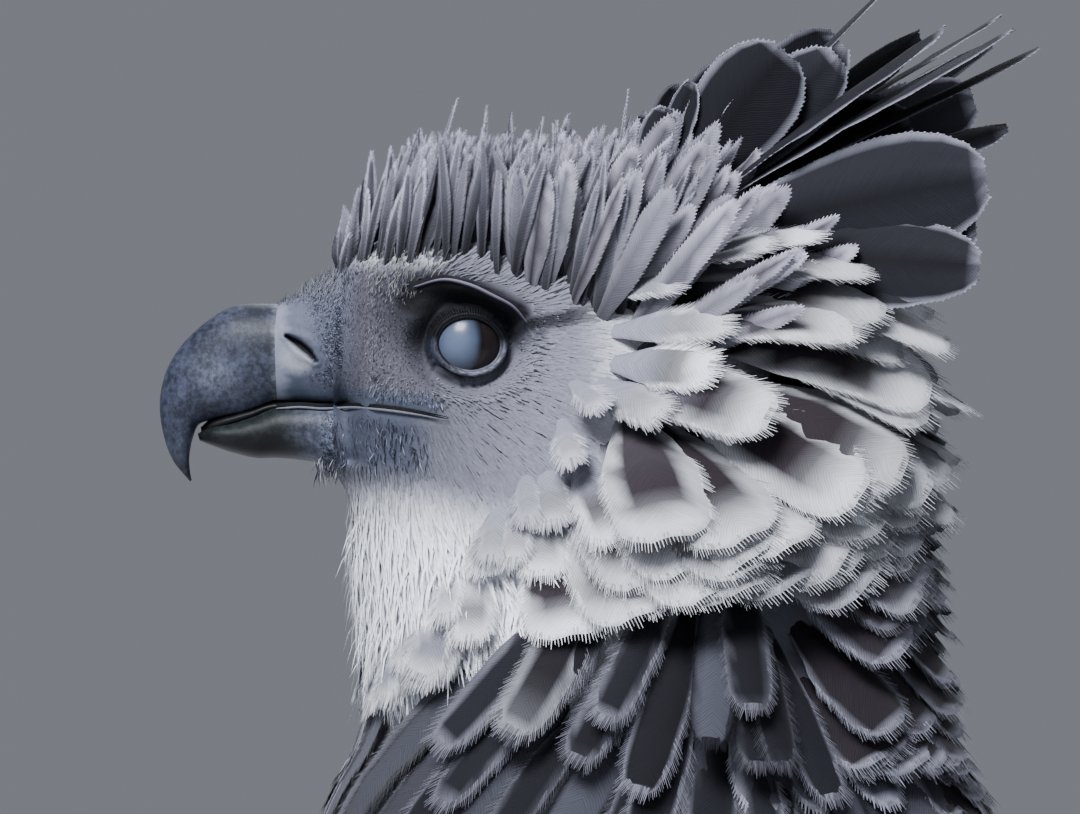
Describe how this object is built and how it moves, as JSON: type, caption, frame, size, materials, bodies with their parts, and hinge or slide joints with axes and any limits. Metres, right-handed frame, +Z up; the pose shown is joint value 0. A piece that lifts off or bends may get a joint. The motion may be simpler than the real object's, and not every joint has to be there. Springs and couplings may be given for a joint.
{
  "type": "harpy eagle, still life-size model",
  "caption": "Still, life-size model of a standing harpy eagle with raised crest and ruff, folded wings and long tail.",
  "frame": {"origin": "middle of the outline's box at floor level, under the belly", "axes": "+Z up, -Y the way the head, bill and toes point, +X the bird's left"},
  "size_m": [0.3486, 0.6974, 0.8032],
  "materials": {
    "plumage_pale": "soft grey and white feathers",
    "plumage_dark": "dark slate feathers with pale margins",
    "face_skin": "dark slate bare skin",
    "bill_horn": "slate horn with a soft gloss",
    "eye": "wet gloss with a milky blue inner lid",
    "leg_skin": "yellow scaled skin",
    "claw_horn": "black horn"
  },
  "bodies": {
    "root": {"head": "plumage_pale", "crest": "plumage_dark", "cere": "face_skin", "bill_upper": "bill_horn", "bill_lower": "bill_horn", "eye_left": "eye", "eye_right": "eye", "neck": "plumage_pale", "torso": "plumage_dark", "tail": "plumage_dark", "wing_left": "plumage_dark", "wing_right": "plumage_dark", "thigh_left": "plumage_pale", "thigh_right": "plumage_pale", "tarsus_left": "leg_skin", "tarsus_right": "leg_skin", "foot_left": "leg_skin", "foot_right": "leg_skin", "claw_left_1": "claw_horn", "claw_left_2": "claw_horn", "claw_left_3": "claw_horn", "claw_left_4": "claw_horn", "claw_right_1": "claw_horn", "claw_right_2": "claw_horn", "claw_right_3": "claw_horn", "claw_right_4": "claw_horn"}
  },
  "joints": []
}
